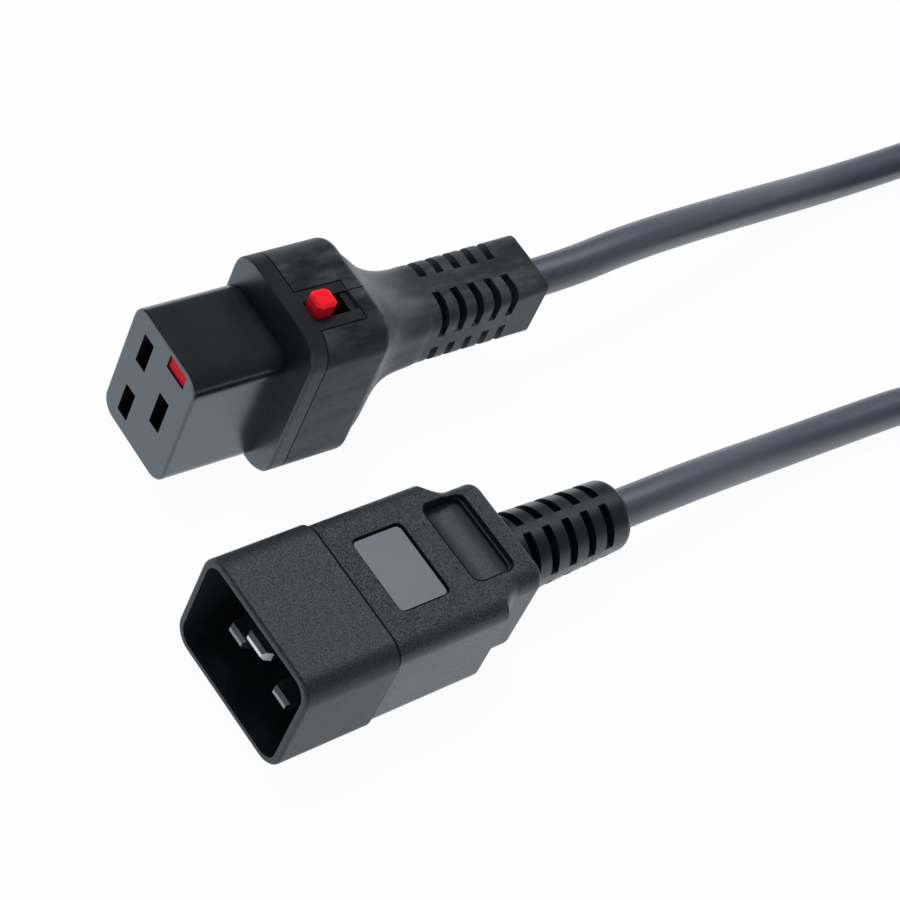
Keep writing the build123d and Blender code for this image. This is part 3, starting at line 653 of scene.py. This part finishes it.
for colour, tones in CORE_TONES.items():
    cover = Finish(colour + "_core")
    if colour == "earth":
        share = ((cover.z + cover.y) * STRIPES_PER_M).math("SINE").clip(-0.2, 0.2)
    else:
        share = cover.noise(500.0, 2.0, 0.5).clip(0.3, 0.7)
    cover.set(Base_Color=cover.blend(share, *tones), Roughness=0.4 + cover.noise(900.0) * 0.1)
    dress(["connector_" + colour + "_core", "plug_" + colour + "_core"], cover.material)

# %% [markdown]
# ## Contact carrier
#
# The carrier that closes the contact chambers from behind is a plain black moulding, and nothing polishes
# it. A little noise in colour and roughness is enough.

# %% Carrier plastic
CARRIER_TONES = ((0.014, 0.014, 0.015), (0.022, 0.022, 0.024))

block = Finish("carrier_plastic")
block.set(
    Base_Color=block.blend(block.noise(300.0).clip(0.3, 0.7), *CARRIER_TONES),
    Roughness=0.5 + block.noise(800.0) * 0.1,
)
dress(["contact_carrier"], block.material)

# %% [markdown]
# ## Floor
#
# The ground is plain white paper under strong light. For the camera it glows at a strength of one, which
# is white, and a small share of its real, lit surface is mixed in, so that the object keeps a faint
# shadow. Real paper under such light is brighter than white in a picture can show, so reflections see it
# a little stronger and cooler. The object itself is lit only by the lamp, the sky and the light that the
# paper sends back.

# %% Floor
FLOOR_HALF = 3
PAPER = (0.80, 0.80, 0.80, 1.0)
GLOW_SHARE = 0.96
MIRRORED_EXTRA = 0.16
WHITE = (1.0, 1.0, 1.0)
MIRRORED_WHITE = (0.95, 1.0, 1.045)


def ray_kinds(tree):
    """Three values, each 1 for one kind of ray and 0 for others: from the camera, mirrored, through."""
    rays = tree.nodes.new("ShaderNodeLightPath")
    kinds = ("Is Camera Ray", "Is Glossy Ray", "Is Transmission Ray")
    return [Value(tree, rays.outputs[kind]) for kind in kinds]


floor_mesh = bpy.data.meshes.new("floor")
corners = [(sx * FLOOR_HALF, sy * FLOOR_HALF, 0) for sx, sy in ((-1, -1), (1, -1), (1, 1), (-1, 1))]
floor_mesh.from_pydata(corners, [], [(0, 1, 2, 3)])
floor = bpy.data.objects.new("floor", floor_mesh)
bpy.context.scene.collection.objects.link(floor)
paper = Finish("paper")
paper.set(Base_Color=PAPER, Roughness=0.9)
seen, mirrored, through = ray_kinds(paper.tree)
share = (seen + mirrored + through).math("MINIMUM", 1.0) * GLOW_SHARE
paper_white = paper.blend(mirrored, WHITE, MIRRORED_WHITE)
glow = paper.node("ShaderNodeEmission", Color=paper_white, Strength=1.0 + mirrored * MIRRORED_EXTRA)
mix = paper.tree.nodes.new("ShaderNodeMixShader")
paper.tree.links.new(share.socket, mix.inputs[0])
paper.tree.links.new(paper.shader.outputs[0], mix.inputs[1])
paper.tree.links.new(glow.outputs[0], mix.inputs[2])
paper.tree.links.new(mix.outputs[0], paper.tree.nodes["Material Output"].inputs["Surface"])
floor.data.materials.append(paper.material)
print("floor", floor.name)

# %% [markdown]
# ## Sky
#
# Dark plastic shows its surroundings more than its colour. In the photograph, faces that lean towards the
# ground are pale and tops are dark, so the surroundings are a white ground under a dark ceiling. The sky's
# strength therefore depends on the kind of ray: 1 for the camera, a ramp over height for reflections, and
# a low even level for the light that falls on things. Behind the object the ground sweeps up a little,
# so the ramp starts higher there.

# %% Sky
AMBIENT = 0.20
CEILING = 0.09
HORIZON = (0.0, 0.12)
BEHIND = (0.62, 0.95)
SWEEP_UP = 0.26

world = bpy.data.worlds.new("studio")
bpy.context.scene.world = world
world.use_nodes = True
sky_tree = world.node_tree
sky = sky_tree.nodes["Background"]
sky.inputs["Color"].default_value = (*WHITE, 1.0)
direction = sky_tree.nodes.new("ShaderNodeTexCoord")
split = sky_tree.nodes.new("ShaderNodeSeparateXYZ")
sky_tree.links.new(direction.outputs["Generated"], split.inputs[0])
seen, mirrored, through = ray_kinds(sky_tree)
behind = Value(sky_tree, split.outputs[0]).clip(*BEHIND)
height = Value(sky_tree, split.outputs[2]) - behind * SWEEP_UP
room = CEILING + (1.0 - CEILING) * (1 - height.clip(*HORIZON))
unseen = (1 - seen) * (mirrored * room + (1 - mirrored) * AMBIENT)
level = (seen + through).math("MINIMUM", 1.0) + unseen * (1 - through)
sky_tree.links.new(level.socket, sky.inputs["Strength"])
print("sky", AMBIENT, "on things,", CEILING, "overhead in reflections")

# %% [markdown]
# ## Key lamp
#
# One soft lamp, high up and a little behind, lights the tops and leaves the near sides to the light from
# the paper. It isn't seen in reflections, because the real one stands where nothing flat mirrors it, and
# a lamp in the way would put hard glints on every small edge.


# %% Key lamp
def lamp(name, place, aim, size, power):
    """A rectangular soft lamp at a place, turned towards a point."""
    light = bpy.data.lights.new(name, "AREA")
    light.shape = "RECTANGLE"
    light.size, light.size_y = size
    light.energy = power
    item = bpy.data.objects.new(name, light)
    item.location = place
    item.rotation_euler = (Vector(aim) - Vector(place)).to_track_quat("-Z", "Y").to_euler()
    bpy.context.scene.collection.objects.link(item)
    return item


key = lamp("key_lamp", place=(0.09, 0.50, 1.08), aim=(0.0, 0.0, 0.01), size=(0.4, 0.4), power=13.5)
key.visible_glossy = False
print("key lamp at", tuple(round(v, 2) for v in key.location))

# %% [markdown]
# ## Softbox
#
# In the photograph the plug's panel and the cord carry the soft reflection of a wide light overhead, and
# the connector doesn't. The softbox adds only that reflection and no light of its own, and it is linked
# to the pieces that mirror it.

# %% Softbox
softbox = lamp("softbox", place=(0.30, 0.17, 0.61), aim=(0.0, -0.02, 0.01), size=(0.50, 0.46), power=1.45)
softbox.visible_diffuse = False
mirrors = bpy.data.collections.new("mirrors_softbox")
for item in (nodes["plug_shroud"], nodes["plug_overmould"], cord):
    mirrors.objects.link(item)
softbox.light_linking.receiver_collection = mirrors

# %% [markdown]
# ## View transform
#
# The view transform stays plain, so that a colour renders as it was written.

# %% View transform
bpy.context.scene.view_settings.view_transform = "Standard"
bpy.context.view_layer.update()
